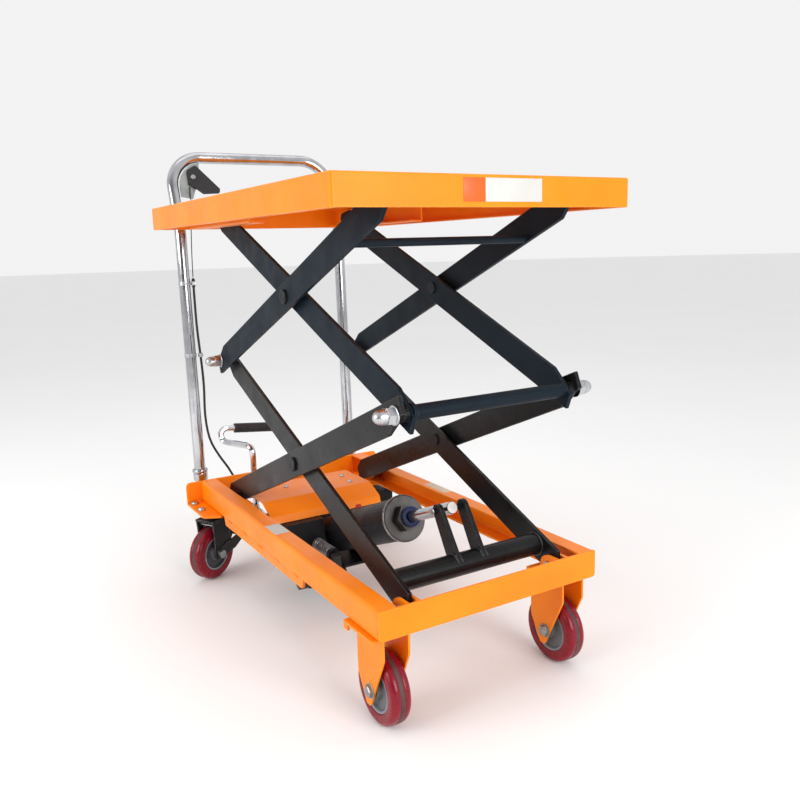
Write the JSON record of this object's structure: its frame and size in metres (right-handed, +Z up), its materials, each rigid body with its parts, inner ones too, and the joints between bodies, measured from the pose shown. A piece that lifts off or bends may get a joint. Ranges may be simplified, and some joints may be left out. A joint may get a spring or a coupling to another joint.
{
  "type": "scissor lift table",
  "caption": "Manual double scissor lift table with a steel platform, foot-pumped hydraulic ram, push handle, fixed wheels and braked casters.",
  "frame": {"origin": "centre of the bounding box at floor level, wheels resting on z = 0", "axes": "+X towards the fixed front wheels, away from the push handle; +Y to the left seen from the handle; +Z up"},
  "size_m": [1.0242, 0.5758, 1.0102],
  "materials": {
    "orange_paint": "gloss",
    "arm_paint": "semi-gloss",
    "black_paint": "semi-gloss",
    "chrome": "polished",
    "zinc_steel": "zinc plated",
    "grey_iron": "satin",
    "red_tyre": "smooth polyurethane",
    "black_rubber": "matt",
    "black_plastic": "moulded",
    "red_plastic": "moulded"
  },
  "bodies": {
    "base": {"front_crossmember": "orange_paint", "rear_crossmember": "orange_paint", "pump_block": "black_paint", "pump_tray": "black_paint", "pump_cover": "orange_paint", "plunger_spring": "zinc_steel", "ram_pivot_pin": "zinc_steel", "handle_tube": "chrome", "lever_bracket": "zinc_steel", "release_wire": "zinc_steel", "release_cable": "black_rubber", "rail_right": "orange_paint", "fork_right": "orange_paint", "base_pin_right": "zinc_steel", "caster_plate_right": "black_paint", "rail_left": "orange_paint", "fork_left": "orange_paint", "base_pin_left": "zinc_steel", "caster_plate_left": "black_paint"},
    "lower_inner": {"lower_inner_frame": "arm_paint", "mid_rear_bolt_right": "zinc_steel", "mid_rear_bolt_left": "zinc_steel"},
    "lower_outer": {"lower_outer_arm_right": "arm_paint", "lower_outer_arm_left": "arm_paint", "mid_front_axle": "zinc_steel", "lower_centre_pin_right": "black_paint", "lower_centre_pin_left": "black_paint"},
    "upper_outer": {"upper_outer_frame": "arm_paint", "upper_centre_pin_right": "black_paint", "upper_centre_pin_left": "black_paint"},
    "upper_inner": {"upper_inner_frame": "arm_paint"},
    "platform": {"platform_pan": "orange_paint", "platform_rail_right": "orange_paint", "platform_rail_left": "orange_paint", "platform_pin_right": "zinc_steel", "platform_pin_left": "zinc_steel"},
    "ram": {"ram_barrel": "black_paint", "ram_gland": "grey_iron", "filler_plug": "red_plastic"},
    "ram_piston": {"ram_rod": "chrome"},
    "foot_lever": {"foot_pedal": "chrome", "pedal_grip": "black_rubber"},
    "plunger": {"pump_plunger": "zinc_steel"},
    "finger_lever": {"release_lever": "black_plastic"},
    "base_roller_body_right": {"base_roller_right": "zinc_steel"},
    "platform_roller_body_right": {"platform_roller_right": "zinc_steel"},
    "front_wheel_right": {"front_tyre_right": "red_tyre", "front_hub_right": "grey_iron"},
    "caster_right": {"caster_yoke_right": "black_paint"},
    "caster_wheel_right": {"caster_tyre_right": "red_tyre", "caster_hub_right": "grey_iron"},
    "brake_right": {"caster_brake_right": "black_paint"},
    "base_roller_body_left": {"base_roller_left": "zinc_steel"},
    "platform_roller_body_left": {"platform_roller_left": "zinc_steel"},
    "front_wheel_left": {"front_tyre_left": "red_tyre", "front_hub_left": "grey_iron"},
    "caster_left": {"caster_yoke_left": "black_paint"},
    "caster_wheel_left": {"caster_tyre_left": "red_tyre", "caster_hub_left": "grey_iron"},
    "brake_left": {"caster_brake_left": "black_paint"}
  },
  "joints": [
    {"name": "lift", "type": "hinge", "parent": "base", "child": "lower_inner", "pos_m": [0.4705, 0, 0.2], "axis": [0, 1, 0], "range_deg": [-16.88, 17.4]},
    {"name": "lower_cross", "type": "hinge", "parent": "lower_inner", "child": "lower_outer", "pos_m": [0.09857, 0, 0.36205], "axis": [0, 1, 0], "range_deg": [-34.9, 33.86]},
    {"name": "mid_rear", "type": "hinge", "parent": "lower_inner", "child": "upper_outer", "pos_m": [-0.29464, 0, 0.52332], "axis": [0, 1, 0], "range_deg": [-34.9, 33.86]},
    {"name": "upper_cross", "type": "hinge", "parent": "upper_outer", "child": "upper_inner", "pos_m": [0.09857, 0, 0.68459], "axis": [0, 1, 0], "range_deg": [-33.86, 34.9]},
    {"name": "platform_hinge", "type": "hinge", "parent": "upper_outer", "child": "platform", "pos_m": [0.4705, 0, 0.84664], "axis": [0, 1, 0], "range_deg": [-16.98, 17.5]},
    {"name": "ram_swing", "type": "hinge", "parent": "base", "child": "ram", "pos_m": [-0.0829, 0, 0.13], "axis": [0, 1, 0], "range_deg": [-2.1, 2.1]},
    {"name": "ram_stroke", "type": "slide", "parent": "ram", "child": "ram_piston", "axis": [0.9285, 0, 0.3714], "range_m": [-0.0415, 0.0428]},
    {"name": "foot_pump", "type": "hinge", "parent": "base", "child": "foot_lever", "pos_m": [0.0441, -0.15, 0.09], "axis": [0, 1, 0], "range_deg": [-12, 0], "stiffness_Nm_per_rad": 40, "springref_deg": 17.19},
    {"name": "plunger_stroke", "type": "slide", "parent": "base", "child": "plunger", "axis": [1, 0, 0], "range_m": [-0.0078, 0], "deforming": ["plunger_spring"]},
    {"name": "release_squeeze", "type": "hinge", "parent": "base", "child": "finger_lever", "pos_m": [-0.47328, -0.16, 0.94501], "axis": [0.9525, 0, 0.3046], "range_deg": [0, 14], "stiffness_Nm_per_rad": 0.6, "springref_deg": -22.92},
    {"name": "base_roller_spin_right", "type": "hinge", "parent": "lower_outer", "child": "base_roller_body_right", "pos_m": [-0.27335, -0.2045, 0.2], "axis": [0, 1, 0], "continuous": true},
    {"name": "platform_roller_spin_right", "type": "hinge", "parent": "upper_inner", "child": "platform_roller_body_right", "pos_m": [-0.27335, -0.181, 0.84664], "axis": [0, 1, 0], "continuous": true},
    {"name": "front_wheel_spin_right", "type": "hinge", "parent": "base", "child": "front_wheel_right", "pos_m": [0.4423, -0.1853, 0.0625], "axis": [0, 1, 0], "continuous": true},
    {"name": "caster_swivel_right", "type": "hinge", "parent": "base", "child": "caster_right", "pos_m": [-0.3279, -0.2, 0.15], "axis": [0, 0, 1], "continuous": true},
    {"name": "caster_wheel_spin_right", "type": "hinge", "parent": "caster_right", "child": "caster_wheel_right", "pos_m": [-0.3111, -0.2291, 0.0625], "axis": [0.866, 0.5, 0], "continuous": true},
    {"name": "brake_press_right", "type": "hinge", "parent": "caster_right", "child": "brake_right", "pos_m": [-0.3111, -0.2291, 0.0625], "axis": [0.866, 0.5, 0], "range_deg": [-15, 0]},
    {"name": "base_roller_spin_left", "type": "hinge", "parent": "lower_outer", "child": "base_roller_body_left", "pos_m": [-0.27335, 0.2045, 0.2], "axis": [0, 1, 0], "continuous": true},
    {"name": "platform_roller_spin_left", "type": "hinge", "parent": "upper_inner", "child": "platform_roller_body_left", "pos_m": [-0.27335, 0.181, 0.84664], "axis": [0, 1, 0], "continuous": true},
    {"name": "front_wheel_spin_left", "type": "hinge", "parent": "base", "child": "front_wheel_left", "pos_m": [0.4423, 0.1853, 0.0625], "axis": [0, 1, 0], "continuous": true},
    {"name": "caster_swivel_left", "type": "hinge", "parent": "base", "child": "caster_left", "pos_m": [-0.3279, 0.2, 0.15], "axis": [0, 0, 1], "continuous": true},
    {"name": "caster_wheel_spin_left", "type": "hinge", "parent": "caster_left", "child": "caster_wheel_left", "pos_m": [-0.3111, 0.2291, 0.0625], "axis": [0.866, -0.5, 0], "continuous": true},
    {"name": "brake_press_left", "type": "hinge", "parent": "caster_left", "child": "brake_left", "pos_m": [-0.3111, 0.2291, 0.0625], "axis": [-0.866, 0.5, 0], "range_deg": [-15, 0]}
  ],
  "couplings": [
    {"joint": "lower_cross", "follows": "lift", "ratio": -2},
    {"joint": "mid_rear", "follows": "lift", "ratio": -2},
    {"joint": "upper_cross", "follows": "lift", "ratio": 2},
    {"joint": "platform_hinge", "follows": "lift", "ratio": 1},
    {"joint": "ram_swing", "follows": "lift", "ratio": -0.11278},
    {"joint": "ram_stroke", "follows": "lift", "m_per_rad": 0.13914},
    {"joint": "plunger_stroke", "follows": "foot_pump", "m_per_rad": 0.0363}
  ]
}
